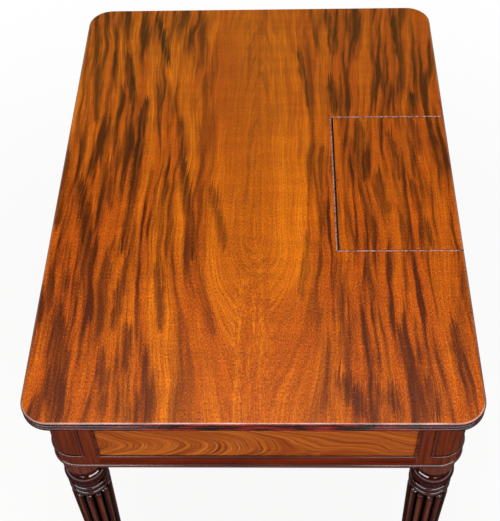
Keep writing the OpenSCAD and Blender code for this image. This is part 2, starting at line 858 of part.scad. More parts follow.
module flap() {
    color(figured) difference() {
        translate([-flap_w / 2, 0, top_z0]) rotate([90, 0, 90]) linear_extrude(flap_w) difference() {
            edge_section(half_w);
            translate([-cut, -cut]) square([flap_y0 + cut, top_t + 2 * cut]);
            translate([0, -cut]) square([half_w, cut + flap_seat_gap]);
        }
        block([-lug_w / 2, flap_y0 - cut, table_h - lug_drop - lug_t],
            [lug_w / 2, flap_y0 + lug_in, table_h + cut]);
        for (side = [0, 1]) mirror([side, 0, 0]) {
            block([hinge_x - hinge_l / 2 - joint_gap, pin_y - leaf_w - joint_gap, top_z0 - cut],
                [hinge_x + hinge_l / 2 + joint_gap, pin_y, flap_z0 + leaf_t]);
            translate([hinge_x - hinge_l / 2 - knuckle_gap, pin_y, pin_z]) rotate([0, 90, 0])
            cylinder(h = hinge_l + 2 * knuckle_gap, r = knuckle_r + knuckle_gap);
        }
    }
}

// Lug that bridges the gap at the middle of the flap's inner edge
module flap_lug() {
    color(brass)
    block([-lug_w / 2, flap_y0 - flap_gap_inner + lug_gap, table_h - lug_drop - lug_t],
        [lug_w / 2, flap_y0 + lug_in, table_h - lug_drop]);
}

// Dovetails through a board of thickness t along X: tails run towards -Y from the shoulder at y = 0
module tails(length, grow, t) {
    rotate([90, 0, 90]) linear_extrude(t)
    for (i = [0:dovetails - 1]) {
        middle = drawer_z0 + tail_pitch * (i + 0.5);
        polygon([
            [cut, middle + tail_root / 2 + grow], [0, middle + tail_root / 2 + grow],
            [-length, middle + tail_tip / 2 + grow], [-length, middle - tail_tip / 2 - grow],
            [0, middle - tail_root / 2 - grow], [cut, middle - tail_root / 2 - grow]]);
    }
}

module drawer_side_right() {
    inner = drawer_x - drawer_side_t;
    color(oak) difference() {
        union() {
            block([inner, front_back_y, drawer_z0], [drawer_x, back_front_y, drawer_z0 + drawer_side_h]);
            block([inner, back_front_y, drawer_z0], [drawer_x, drawer_y1, drawer_floor_top]);
            translate([inner, front_back_y, 0]) tails(tail_l, 0, drawer_side_t);
            translate([inner, back_front_y, 0]) mirror([0, 1, 0]) tails(drawer_side_t, 0, drawer_side_t);
        }
        drawer_floor_slot();
    }
}

module drawer_side_left() {
    mirror([1, 0, 0]) drawer_side_right();
}

// Room for the drawer bottom in the front and the sides
module drawer_floor_slot() {
    reach = drawer_x - drawer_side_t + drawer_groove + joint_gap;
    block([-reach, front_back_y - drawer_groove - joint_gap, drawer_floor_z],
        [reach, drawer_y1 + cut, drawer_floor_top]);
}

module drawer_front() {
    color(figured) difference() {
        block([-drawer_x, front_y, front_z0], [drawer_x, front_back_y, front_z0 + front_h]);
        for (side = [0, 1]) mirror([side, 0, 0]) {
            translate([drawer_x - drawer_side_t - joint_gap, front_back_y, 0])
            tails(tail_l + joint_gap, joint_gap, drawer_side_t + joint_gap + cut);
            translate([knob_x, front_y - cut, knob_z]) rotate([-90, 0, 0])
            cylinder(h = drawer_front_t + 2 * cut, r = spigot_r + joint_gap);
        }
        drawer_floor_slot();
    }
}

module drawer_back() {
    color(oak) difference() {
        block([-drawer_x, back_front_y, drawer_floor_top], [drawer_x, drawer_y1, drawer_z0 + drawer_side_h]);
        for (side = [0, 1]) mirror([side, 0, 0])
        translate([drawer_x - drawer_side_t - joint_gap, back_front_y, 0]) mirror([0, 1, 0])
        tails(drawer_side_t + cut, joint_gap, drawer_side_t + joint_gap + cut);
    }
}

module drawer_bottom() {
    reach = drawer_x - drawer_side_t + drawer_groove;
    color(oak)
    block([-reach, front_back_y - drawer_groove, drawer_floor_z], [reach, drawer_y1, drawer_floor_top]);
}

module drawer_beads() {
    color(dark_mahogany) translate([0, front_y, 0]) rotate(-90)
    bead_frame(-drawer_x, drawer_x, front_z0, front_z0 + front_h);
}

module knob_right() {
    color(dark_mahogany) translate([knob_x, front_y, knob_z]) rotate([90, 0, 0]) rotate_extrude() {
        translate([0, -drawer_front_t]) square([spigot_r, drawer_front_t + cut]);
        square([knob_stem_r, knob_stem_l + cut]);
        band(knob_stem_l, knob_proud - knob_stem_l, knob_r, knob_swell);
    }
}

module knob_left() {
    mirror([1, 0, 0]) knob_right();
}

top();
flap_bead();
leg_front_left();
leg_front_right();
leg_back_left();
leg_back_right();
apron_left();
apron_right();
apron_back();
rail_front_upper();
rail_front_lower();
cross_rail();
panel_left();
panel_right();
panel_back();
panel_beads_left();
panel_beads_right();
panel_beads_back();
corner_beads_front_left();
corner_beads_front_right();
corner_beads_back_left();
corner_beads_back_right();
astragal_front();
astragal_back();
astragal_left();
astragal_right();
astragal_corners();
well_side_left();
well_side_right();
well_floor();
well_division_long();
well_division_left();
well_division_right();
pen_tray();
runner_left();
runner_right();
guide_left();
guide_right();
kicker_left();
kicker_right();
drawer_stops();
glue_blocks();
hinge_leaf_fixed_left();
hinge_leaf_fixed_right();
hinge_pin_left();
hinge_pin_right();
flap();
flap_lug();
hinge_leaf_flap_left();
hinge_leaf_flap_right();
drawer_front();
drawer_side_left();
drawer_side_right();
drawer_back();
drawer_bottom();
drawer_beads();
knob_left();
knob_right();
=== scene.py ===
import math

import bmesh
import bpy
from mathutils import Matrix, Vector


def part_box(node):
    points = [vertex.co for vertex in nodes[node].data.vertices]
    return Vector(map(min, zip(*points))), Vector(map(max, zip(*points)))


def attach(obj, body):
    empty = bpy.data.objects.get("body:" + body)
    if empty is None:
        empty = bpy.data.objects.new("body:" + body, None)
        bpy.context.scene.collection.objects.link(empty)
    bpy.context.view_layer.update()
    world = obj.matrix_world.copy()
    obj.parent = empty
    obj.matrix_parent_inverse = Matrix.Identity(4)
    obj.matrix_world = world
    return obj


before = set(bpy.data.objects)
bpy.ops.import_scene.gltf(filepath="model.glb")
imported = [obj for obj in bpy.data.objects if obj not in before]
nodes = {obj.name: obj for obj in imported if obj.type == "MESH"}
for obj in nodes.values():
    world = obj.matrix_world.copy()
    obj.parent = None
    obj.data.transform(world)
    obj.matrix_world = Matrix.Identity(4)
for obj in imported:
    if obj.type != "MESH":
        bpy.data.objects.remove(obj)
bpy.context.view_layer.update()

# Places taken from the frame, in metres
TOP_LOW, TOP_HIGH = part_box("top")
TOP_Z = TOP_HIGH.z
FRIEZE_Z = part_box("apron_right")[0].z
PANEL_LOW, PANEL_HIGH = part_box("panel_right")
PANEL_Z = (PANEL_LOW.z + PANEL_HIGH.z) / 2
DRAWER_LOW, DRAWER_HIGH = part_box("drawer_front")
LEG_LOW, LEG_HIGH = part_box("leg_front_right")
LEG_X = (LEG_LOW.x + LEG_HIGH.x) / 2
LEG_FRONT_Y = (LEG_LOW.y + LEG_HIGH.y) / 2
LEG_BACK_Y = sum(corner.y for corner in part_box("leg_back_right")) / 2
LEG_MIDDLE_Y = (LEG_FRONT_Y + LEG_BACK_Y) / 2
LEG_SPREAD_Y = (LEG_BACK_Y - LEG_FRONT_Y) / 2
FIXED_LEAF_Z = TOP_LOW.z
FLAP_LEAF_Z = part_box("flap")[0].z

# What the boxes don't tell, in metres: how far below the frieze a leg's drum ends and its reeds begin, and
# the radius of the top's arris; and the number of reeds of a leg
DRUM_BELOW_FRIEZE = 0.029
HEADS_BELOW_FRIEZE = 0.1026
DRUM_Z = FRIEZE_Z - DRUM_BELOW_FRIEZE
HEADS_Z = FRIEZE_Z - HEADS_BELOW_FRIEZE
ARRIS = 0.0007
REEDS = 12

# Screw heads, in metres, with the turns of their slots in radians
SCREW_R = 0.0026
SCREW_H = 0.0001
SCREW_SLOT = 0.0007
SLOT_FLOOR = SCREW_H / 5
SCREW_STEPS = 14
SCREW_SPACING = 0.0135
SCREW_INSET = 0.0055
MIDDLE_SCREW_INSET = 1.6 * SCREW_INSET
FIRST_TURN = {"left": 4.7, "right": 5.7}
NEXT_TURN = 1.3

# Leaves of a hinge: name, body, height of the face that carries the screws, and which way it looks
LEAVES = (("fixed", "table", FIXED_LEAF_Z, 1), ("flap", "flap", FLAP_LEAF_Z, -1))

# Figure of the top, whose far and near, left and right are as the photograph's camera sees them: -X and
# +X, -Y and +Y. First the place where its arches turn, over what length they do, and how deep they are
ARCH_X = 0.11
ARCH_ROUNDING = 0.2
ARCH_DEPTH = 0.095

# Metres towards the far end in which the heart of the figure narrows by one
FAR_NARROWING = 14.0

# How far the figure sways and is roughened, how far its flames are frayed along X and Y, and between which
# distances from its ends a flame grows to its full width, in metres
FIGURE_SWAY = 0.035
FIGURE_ROUGHNESS = 0.003
FLAME_FRAY_X, FLAME_FRAY_Y = 0.12, 0.013
FLAME_GROWTH = (-0.004, 0.03)

# Figure of the frieze panels, in metres: the run in which its arches turn into slanting lines, and its sway
PANEL_RUN = 0.17
PANEL_SWAY = 0.05

# Painted shade in crevices, standing also for grime: how far away another surface may be, in metres, and the
# openness at which the painted shade is full and gone
EDGE_CREVICE, POLISHED_CREVICE, DRY_CREVICE = 0.002, 0.005, 0.006
CREVICE_FULL, CREVICE_GONE = 0.5, 0.9
CREVICE_SAMPLES = 6

# The stretch between 0 and 1 in which most of a noise lies
NOISE_SPAN = (0.3, 0.7)

# Roughness and strength of reflection of rails, and of beads and other dark pieces
RAIL_POLISH, BEAD_POLISH = (0.28, 0.12), (0.1, 1.0)

# Sockets of a Mix node that mixes colours
MIX_SHARE, MIX_FIRST, MIX_SECOND, MIX_RESULT = 0, 6, 7, 2

# The 45 dark flames of the top that stand out most; all its other figure is noise. A row gives all inputs of
# the flame group but the place: the ends of a straight line and half its width, in metres, and its strength
FLAME_INPUTS = ("x", "y", "far x", "far y", "near x", "near y", "half width", "strength")
FLAMES = [
    (-0.400, -0.292, -0.130, -0.262, 0.0070, 0.80),
    (-0.430, -0.238, -0.340, -0.230, 0.0080, 0.80),
    (-0.320, -0.228, -0.160, -0.204, 0.0075, 1.00),
    (-0.425, -0.184, -0.275, -0.153, 0.0085, 1.00),
    (-0.430, -0.148, -0.345, -0.138, 0.0060, 0.70),
    (-0.200, -0.186, 0.150, -0.194, 0.0075, 1.00),
    (0.130, -0.184, 0.290, -0.194, 0.0065, 0.85),
    (0.150, -0.142, 0.290, -0.126, 0.0070, 0.80),
    (-0.060, -0.118, 0.165, -0.086, 0.0080, 0.90),
    (0.000, -0.070, 0.150, -0.040, 0.0070, 0.65),
    (-0.260, -0.090, -0.040, -0.084, 0.0060, 0.55),
    (-0.020, -0.276, 0.180, -0.238, 0.0110, 0.95),
    (-0.080, -0.302, 0.100, -0.298, 0.0080, 0.80),
    (-0.060, -0.236, 0.060, -0.222, 0.0070, 0.75),
    (0.090, -0.254, 0.200, -0.246, 0.0070, 0.90),
    (0.130, -0.216, 0.270, -0.208, 0.0060, 0.80),
    (0.240, -0.272, 0.430, -0.254, 0.0110, 0.95),
    (0.260, -0.176, 0.365, -0.168, 0.0070, 0.85),
    (0.310, -0.204, 0.430, -0.194, 0.0070, 0.80),
    (0.150, -0.086, 0.300, -0.050, 0.0045, 0.60),
    (0.250, -0.102, 0.380, -0.092, 0.0060, 0.60),
    (-0.320, 0.070, -0.165, 0.090, 0.0065, 0.85),
    (-0.430, 0.122, -0.300, 0.128, 0.0070, 0.85),
    (-0.250, 0.124, -0.140, 0.130, 0.0070, 0.95),
    (-0.430, 0.160, -0.290, 0.166, 0.0060, 0.75),
    (-0.430, 0.238, -0.270, 0.246, 0.0075, 0.95),
    (-0.275, 0.208, -0.145, 0.216, 0.0060, 0.80),
    (-0.210, 0.254, -0.142, 0.260, 0.0075, 1.00),
    (-0.140, 0.162, 0.010, 0.168, 0.0080, 0.95),
    (-0.120, 0.210, 0.005, 0.222, 0.0060, 0.80),
    (-0.140, 0.252, -0.050, 0.258, 0.0065, 0.80),
    (-0.030, 0.190, 0.085, 0.200, 0.0065, 0.85),
    (-0.010, 0.236, 0.150, 0.262, 0.0070, 0.80),
    (0.050, 0.216, 0.150, 0.226, 0.0050, 0.75),
    (-0.080, 0.104, 0.085, 0.094, 0.0060, 0.65),
    (0.095, 0.080, 0.245, 0.066, 0.0050, 0.60),
    (0.160, 0.164, 0.245, 0.170, 0.0060, 0.80),
    (0.270, 0.200, 0.375, 0.208, 0.0070, 0.85),
    (0.260, 0.272, 0.345, 0.278, 0.0085, 0.95),
    (0.265, 0.122, 0.375, 0.128, 0.0060, 0.70),
    (0.355, 0.158, 0.405, 0.170, 0.0080, 0.85),
    (0.350, 0.116, 0.430, 0.148, 0.0150, 0.95),
    (0.340, -0.270, 0.430, -0.253, 0.0150, 1.00),
    (0.360, 0.182, 0.430, 0.188, 0.0110, 0.95),
    (0.355, 0.230, 0.430, 0.238, 0.0110, 0.90),
]

# The photograph's camera: where it stands, where it points, and its focal length in photo pixels
PHOTO_SIZE = (500, 521)
CAMERA_AT = Vector((1.1127, 0.0398, 1.8944))
CAMERA_YAW = math.radians(-2.764)
CAMERA_PITCH = math.radians(50.437)
CAMERA_ROLL = math.radians(2.364)
FOCAL_PIXELS = 1032
SENSOR_MM = 36

# The studio: half the side of its floor in metres, the strength of its surroundings for matt surfaces, and
# its lamps: name, place, the point each faces, width, height and radiance
FLOOR_HALF = 8
EVEN_LIGHT = 0.42
LAMPS = [
    ("lamp_left", (1.6, -1.1, 1.75), (0.1, 0.0, 0.6), 1.8, 0.42, 7.1),
    ("lamp_right", (1.6, 1.05, 1.75), (0.1, 0.0, 0.6), 1.8, 0.42, 7.1),
    ("lamp_above", (0.0, 0.0, 3.2), (0.0, 0.0, 0.7), 0.8, 0.5, 16.8),
]

# Corners of a square, as signs of x and y
SQUARE = ((-1, -1), (1, -1), (1, 1), (-1, 1))


def tone(red, green, blue):
    """Linear colour of a display colour given as 0 to 255, by the formula of the sRGB standard."""
    def linear(value):
        value /= 255
        return value / 12.92 if value <= 0.04045 else ((value + 0.055) / 1.055) ** 2.4
    return (linear(red), linear(green), linear(blue), 1)


# Colours of the top's upper face; here and below, two tones under one name are its lighter and deeper tone
GOLD, DEEP_GOLD = tone(254, 136, 2), tone(211, 95, 1)
RED_GOLD, BRIGHT_GOLD = tone(200, 76, 1), tone(255, 137, 2)
STREAK, FIBRE = tone(163, 66, 1), tone(168, 70, 1)
HEART, ARC = tone(190, 94, 3), tone(120, 51, 2)
# Dark flames; the near ones are lighter by a painted sheen
FAR_FLAME, SHEENED_NEAR_FLAME = tone(40, 12, 1), tone(68, 25, 10)
DARK_FLECK, GOLD_FLECK = tone(90, 30, 1), tone(253, 141, 26)
# A ripple tone of the figure, and a painted reflection laid over the far end
RIPPLE, FAR_SHEEN = tone(111, 39, 1), tone(105, 92, 46)

# Colours of the top's edge and underside
EDGE_BLACK, EDGE_RED, EDGE_SIDES = tone(38, 6, 4), tone(152, 34, 15), tone(20, 6, 7)
# Painted shade for the edge's grooves, and a painted highlight for its upper arris
EDGE_CREVICE_SHADE, ARRIS_HIGHLIGHT = tone(12, 4, 4), tone(240, 203, 192)
RAW_WOOD = tone(133, 83, 54), tone(98, 58, 36)

# Colours of rails, beads and the well
RAIL_WOOD = tone(125, 40, 10), tone(74, 18, 5)
BEAD_WOOD = tone(118, 52, 38), tone(66, 25, 19)
# Pores, and painted shade for the crevices of rails and beads
PORE, POLISHED_CREVICE_SHADE = tone(43, 15, 6), tone(14, 5, 4)
# Dark bead, and the painted highlight along its crest
DARK_BEAD, CREST_HIGHLIGHT = tone(32, 11, 7), (tone(190, 136, 120), tone(120, 72, 60))
WELL_WOOD = tone(156, 79, 36), tone(111, 51, 24)
WELL_WEAR, INK = tone(195, 120, 71), tone(21, 18, 26)

# Colours of the frieze panels
VENEER = tone(188, 96, 24), tone(152, 66, 13)
VENEER_LINE, VENEER_GLEAM, VENEER_FIBRE = tone(92, 34, 5), tone(235, 146, 62), tone(111, 45, 9)
PANEL_CORE = tone(141, 71, 32), tone(107, 49, 21)
# Painted shade for the crevices of the panels and drawer front
PANEL_CREVICE_SHADE = tone(24, 8, 5)

# Colours of the legs
BLOCK_WOOD = tone(121, 49, 21), tone(82, 29, 12)
TURNED_WOOD, TURNED_BAND = (tone(75, 12, 7), tone(36, 5, 4)), tone(28, 4, 4)
DRUM_WOOD = tone(122, 60, 45), tone(84, 38, 29)
# Lighter tone of the reed crests, a painted highlight
LIT_CREST_WOOD = tone(122, 66, 40), tone(84, 40, 24)
# Wax in the reeds' grooves, with painted shade there and in the legs' crevices
WAX_AND_SHADE = tone(11, 4, 3)

# Colours of plain woods, each with its dust, and of painted shade in their crevices; of metal, and of the
# soiling and painted shade in the screws' slots
OAK = tone(180, 133, 83), tone(148, 103, 60), tone(90, 60, 34)
PINE = tone(210, 167, 111), tone(178, 131, 79), tone(120, 86, 51)
# Painted shade in the crevices of plain wood
DRY_CREVICE_SHADE = tone(14, 9, 6)
BRASS, BROWNED_BRASS = tone(214, 172, 96), tone(128, 88, 42)
# Dark floor of the screws' slots: soiling and painted shade
SLOT_DIRT_AND_SHADE = tone(34, 24, 12), tone(14, 9, 5)

# Colours of the studio
FLOOR_PALE, FLOOR_DEEP = tone(244, 243, 241), tone(238, 237, 235)
WHITE = (1, 1, 1, 1)


class Value:
    """An output in a node tree; sums, products and the like of it are worked out by new nodes."""

    def __init__(self, tree, socket):
        self.tree = tree
        self.socket = socket

    def __add__(self, other):
        return self.tree.math("ADD", self, other)

    def __sub__(self, other):
        return self.tree.math("SUBTRACT", self, other)

    def __rsub__(self, other):
        return self.tree.math("SUBTRACT", other, self)

    def __mul__(self, other):
        return self.tree.math("MULTIPLY", self, other)

    def __truediv__(self, other):
        return self.tree.math("DIVIDE", self, other)


class Tree:
    """A node tree, built by short calls that return values."""

    def __init__(self, node_tree):
        self.node_tree = node_tree
        node_tree.nodes.clear()

    def add(self, kind, inputs=(), **settings):
        """Adds a node; each input is given a value of the tree, a number or a colour."""
        node = self.node_tree.nodes.new(kind)
        for name, setting in settings.items():
            setattr(node, name, setting)
        for place, given in dict(inputs).items():
            if isinstance(given, Value):
                self.node_tree.links.new(given.socket, node.inputs[place])
            else:
                node.inputs[place].default_value = given
        return node

    def values(self, kind, outputs, inputs=(), **settings):
        """Adds a node and returns some of its outputs."""
        node = self.add(kind, inputs, **settings)
        return [Value(self, node.outputs[output]) for output in outputs]

    def value(self, kind, inputs=(), output=0, **settings):
        """Adds a node and returns one of its outputs."""
        return self.values(kind, [output], inputs, **settings)[0]

    def math(self, operation, *numbers, clamp=False):
        """Works one operation out; with clamp, its result is kept between 0 and 1."""
        return self.value("ShaderNodeMath", enumerate(numbers), operation=operation, use_clamp=clamp)

    def smooth(self, value, start, end, low=0.0, high=1.0, shape="SMOOTHSTEP"):
        """Goes from low to high while the value goes from start to end."""
        inputs = {"Value": value, "From Min": start, "From Max": end, "To Min": low, "To Max": high}
        return self.value("ShaderNodeMapRange", inputs, interpolation_type=shape)

    def mix(self, share, first, second):
        """The first colour with a share of the second."""
        inputs = {MIX_SHARE: share, MIX_FIRST: first, MIX_SECOND: second}
        return self.value("ShaderNodeMix", inputs, MIX_RESULT, data_type="RGBA")

    def blend(self, first, second, value, start, end, low=0.0, high=1.0):
        """The first colour with a share of the second that depends on a value, as in smooth."""
        return self.mix(self.smooth(value, start, end, low, high), first, second)

    def place(self):
        """Place on the object, as x, y and z in metres."""
        place = self.value("ShaderNodeTexCoord", output="Object")
        return self.values("ShaderNodeSeparateXYZ", range(3), {0: place})

    def noise(self, place, scales, detail=2.0, roughness=0.5, distortion=0.0):
        """Noise between 0 and 1; the scales say how fast it changes along each axis, in cells to a metre."""
        scaled = [value * scale for value, scale in zip(place, scales)]
        spot = self.value("ShaderNodeCombineXYZ", enumerate(scaled))
        inputs = {"Vector": spot, "Scale": 1.0, "Detail": detail, "Roughness": roughness,
                  "Distortion": distortion}
        return self.value("ShaderNodeTexNoise", inputs)

    def bump(self, height, distance, strength):
        """Normals of a relief that a distance in metres and a strength make out of a height."""
        return self.value("ShaderNodeBump", {"Height": height, "Distance": distance, "Strength": strength})

    def painted_crevice_shade(self, reach, amount):
        """Share of painted shade, with grime, up to amount, in narrow places that have another surface within
        reach.
        """
        inputs = {"Distance": reach}
        openness = self.value("ShaderNodeAmbientOcclusion", inputs, "AO", samples=CREVICE_SAMPLES)
        return self.smooth(openness, CREVICE_FULL, CREVICE_GONE, amount, 0.0)

    def rays(self):
        """Whether a ray comes from the camera, a mirroring or clear surface, or a matt one, as 0 or 1."""
        camera, glossy, through, diffuse = self.values("ShaderNodeLightPath", (
            "Is Camera Ray", "Is Glossy Ray", "Is Transmission Ray", "Is Diffuse Ray"))
        return camera, self.math("MAXIMUM", glossy, through), diffuse


class Material(Tree):
    """The node tree of a new material."""

    def __init__(self, name):
        self.material = bpy.data.materials.new(name)
        self.material.use_nodes = True
        super().__init__(self.material.node_tree)

    def finish(self, colour, roughness, normal=None, shine=0.5, metallic=0.0):
        """Ends the tree with a surface, and returns the material."""
        inputs = {"Base Color": colour, "Roughness": roughness, "Specular IOR Level": shine,
                  "Metallic": metallic}
        if normal:
            inputs["Normal"] = normal
        surface = self.value("ShaderNodeBsdfPrincipled", inputs)
        self.add("ShaderNodeOutputMaterial", {"Surface": surface})
        return self.material


def grain_scales(grain, across, along):
    """Noise scales for wood with its grain along one axis: 0 for X, 1 for Y, 2 for Z."""
    return [along if axis == grain else across for axis in range(3)]


def flame_group():
    """Node group for one dark flame: its strength on its line, and less towards its ends and sides."""
    group = bpy.data.node_groups.new("flame", "ShaderNodeTree")
    for name in FLAME_INPUTS:
        group.interface.new_socket(name, in_out="INPUT", socket_type="NodeSocketFloat")
    group.interface.new_socket("amount", in_out="OUTPUT", socket_type="NodeSocketFloat")
    t = Tree(group)
    x, y, far_x, far_y, near_x, near_y, half_width, strength = t.values("NodeGroupInput", FLAME_INPUTS)
    line_y = t.smooth(x, far_x, near_x, far_y, near_y, shape="LINEAR")
    aside = t.math("ABSOLUTE", y - line_y) / half_width
    within = t.smooth(x - far_x, *FLAME_GROWTH) * t.smooth(near_x - x, *FLAME_GROWTH)
    taper = within * 0.7 + 0.3
    across = t.smooth(aside / taper, 0.3, 1.7, 1.0, 0.0)
    amount = across * (t.smooth(within, 0.0, 0.35) * strength)
    t.add("NodeGroupOutput", {"amount": amount})
    return group


class TopWood(Material):
    """The figure of the board that the top and the flap are cut from, with its grain along X."""

    def __init__(self, name):
        super().__init__(name)
        self.spot = self.place()
        self.x, self.y, self.z = self.spot
        self.side = self.smooth(self.y, -0.03, 0.03, -1.0, 1.0)
        self.ragged = self.noise(self.spot, (34, 90, 1), 2, 0.6)
        self.ring, self.aside = self.rings()
        along = self.ring, self.x, self.side
        self.broad = self.noise(along, (42, 2.4, 3))
        self.streak = self.noise(along, (98, 6.5, 5), 3)
        self.narrow_streak = self.noise(along, (225, 7.0, 7))
        self.fibre = self.noise(along, (520, 10, 9), 3, 0.65)
        self.grain = self.noise((self.y, self.x, self.z), (640, 300, 300), 2, 0.7)
        self.ripple = self.noise(self.spot, (70, 11, 1))

    def rings(self):
        """How far each place is from the heart of the figure, and how far aside of its middle line."""
        wander = self.noise(self.spot, (4.5, 9, 1))
        aside = self.y / (self.x * self.x * 0.5 + 1.0) + (wander - 0.5) * FIGURE_SWAY
        past = self.x - ARCH_X
        near_arch = past / self.math("SQRT", past * past + ARCH_ROUNDING ** 2) * ARCH_DEPTH
        arch = self.math("MAXIMUM", near_arch, past / -FAR_NARROWING)
        ring = self.math("SQRT", aside * aside + arch * arch)
        return ring + (self.ragged - 0.5) * FIGURE_ROUGHNESS, aside

    def dark(self):
        """Share of the dark figure: the flames, and finer bands that crowd towards the long sides."""
        frayed_x = self.x + (self.fibre - 0.5) * FLAME_FRAY_X
        frayed_y = self.y + (self.streak + self.ragged - 1.0) * FLAME_FRAY_Y
        group = flame_group()
        flames = 0.0
        for flame in FLAMES:
            inputs = zip(FLAME_INPUTS, (frayed_x, frayed_y, *flame))
            flames = self.math("MAXIMUM", self.value("ShaderNodeGroup", inputs, node_tree=group), flames)
        flames = flames * self.smooth(self.narrow_streak, 0.3, 0.62, 0.65, 1.0)
        bands = self.smooth(self.streak, 0.4, 0.63) * self.smooth(self.broad, 0.3, 0.56)
        crowd = self.smooth(self.math("ABSOLUTE", self.aside), 0.045, 0.11)
        return self.math("MAXIMUM", flames, bands * (crowd * 0.88 + 0.06), clamp=True)

    def ground(self):
        """Golden wood under the dark figure: redder on the right and near left, with arcs at its heart."""
        near_left = self.smooth(self.y, -0.14, -0.2) * self.smooth(self.x, -0.2, 0.0)
        redder = self.math("MAXIMUM", self.smooth(self.y, 0.06, 0.13), near_left)
        colour = self.blend(GOLD, DEEP_GOLD, self.broad, 0.35, 0.65)
        colour = self.mix(redder * 0.45, colour, RED_GOLD)
        colour = self.blend(colour, STREAK, self.narrow_streak, 0.4, 0.62, 0.0, 0.45)
        colour = self.blend(colour, FIBRE, self.fibre, 0.32, 0.68, 0.0, 0.75)
        heart = self.smooth(self.ring, 0.025, 0.075, 1.0, 0.0)
        arcs = self.noise((self.ring, self.aside, self.side), (330, 6, 1), 2, 0.6)
        colour = self.mix(heart * 0.45, colour, HEART)
        colour = self.mix(heart * self.smooth(arcs, 0.5, 0.66, 0.0, 0.42), colour, ARC)
        strip = self.smooth(self.aside, 0.0, 0.05) * self.smooth(self.aside, 0.07, 0.1, 1.0, 0.0)
        length = self.smooth(self.x, -0.22, -0.05) * self.smooth(self.x, 0.12, 0.3, 1.0, 0.0)
        bright = strip * length * self.smooth(self.fibre, *NOISE_SPAN, 0.6, 0.2)
        return self.mix(bright, colour, BRIGHT_GOLD)

    def face(self):
        """Colour of the polished upper face."""
        dark = self.dark()
        # Dark flames, painted lighter towards the near end as a painted sheen
        flame = self.blend(FAR_FLAME, SHEENED_NEAR_FLAME, self.x, 0.1, 0.4)
        colour = self.mix(dark * 0.97, self.ground(), flame)
        nearer = self.smooth(self.x, -0.3, 0.3, 0.3, 0.7)
        colour = self.mix(self.smooth(self.grain, 0.46, 0.72) * nearer, colour, DARK_FLECK)
        golden = nearer * (1.0 - dark * 0.8)
        colour = self.mix(self.smooth(self.grain, 0.35, 0.48, 0.6, 0.0) * golden, colour, GOLD_FLECK)
        colour = self.blend(colour, RIPPLE, self.ripple, 0.35, 0.65, 0.0, 0.14)
        # Painted reflection: a pale sheen laid over the far end
        return self.blend(colour, FAR_SHEEN, self.x, -0.43, 0.2, 0.2, 0.0)

    def edged(self, colour, below, raw):
        """A colour with the dark reeded edge, the raw underside, painted shade in the grooves and a painted
        highlight along the upper arris laid over it.
        """
        patch = self.noise(self.spot, (26, 26, 190), 4, 0.65)
        reeds = self.blend(EDGE_BLACK, EDGE_RED, patch, 0.42, 0.7)
        reeds = self.blend(reeds, EDGE_SIDES, self.math("ABSOLUTE", self.y), 0.22, 0.27, 0.0, 0.75)
        colour = self.mix(below, colour, reeds)
        colour = self.mix(raw, colour, self.blend(*RAW_WOOD, self.fibre, *NOISE_SPAN))
        # Painted shade in the grooves of the edge
        colour = self.mix(below * self.painted_crevice_shade(EDGE_CREVICE, 0.9), colour, EDGE_CREVICE_SHADE)
        # Painted highlight: a pale broken line along the upper arris, strongest at the near end
        line_low = self.smooth(self.z, TOP_Z - 2.0 * ARRIS, TOP_Z - 1.4 * ARRIS)
        line_high = self.smooth(self.z, TOP_Z - 0.8 * ARRIS, TOP_Z - 0.4 * ARRIS, 1.0, 0.0)
        highlight_breaks = self.smooth(self.noise(self.spot, (18, 18, 18), 3), 0.35, 0.65, 0.3, 0.7)
        highlight_at_near_end = self.smooth(self.x, 0.39, 0.42, 0.25, 1.0)
        return self.mix(line_low * line_high * (highlight_breaks * highlight_at_near_end), colour, ARRIS_HIGHLIGHT)


def top_mahogany(name):
    """Figured mahogany of the top and the flap, with its dark reeded edge and its raw underside."""
    t = TopWood(name)
    below = t.smooth(t.z, TOP_Z - 2 * ARRIS, TOP_Z - ARRIS, 1.0, 0.0)
    raw = t.smooth(t.z, TOP_LOW.z + 0.0002, TOP_LOW.z + 0.0006, 1.0, 0.0)
    colour = t.edged(t.face(), below, raw)
    rough = t.smooth(t.fibre, *NOISE_SPAN, 0.2, 0.3) - below * 0.15 + raw * 0.45
    height = (t.grain * 0.5 + t.ripple) * (1.0 - below)
    shine = below * 0.45 + 0.25
    return t.finish(colour, rough, t.bump(height, 0.0001, 0.2), shine)


def straight_mahogany(name, grain, wood, roughness, shine):
    """Polished mahogany with its grain along one axis, in the two tones of a wood."""
    t = Material(name)
    spot = t.place()
    fibre = t.noise(spot, grain_scales(grain, 260, 7), 3, 0.6)
    band = t.noise(spot, grain_scales(grain, 38, 2.5))
    pores = t.noise(spot, grain_scales(grain, 780, 180), 1)
    colour = t.blend(*wood, fibre, *NOISE_SPAN)
    colour = t.blend(colour, wood[1], band, 0.4, 0.7, 0.0, 0.55)
    colour = t.blend(colour, PORE, pores, 0.58, 0.7, 0.0, 0.4)
    # Painted shade in the crevices beside beads and joints
    colour = t.mix(t.painted_crevice_shade(POLISHED_CREVICE, 0.95), colour, POLISHED_CREVICE_SHADE)
    rough = t.smooth(fibre, *NOISE_SPAN, roughness - 0.04, roughness + 0.06)
    return t.finish(colour, rough, t.bump(pores, 0.00008, 0.3), shine)


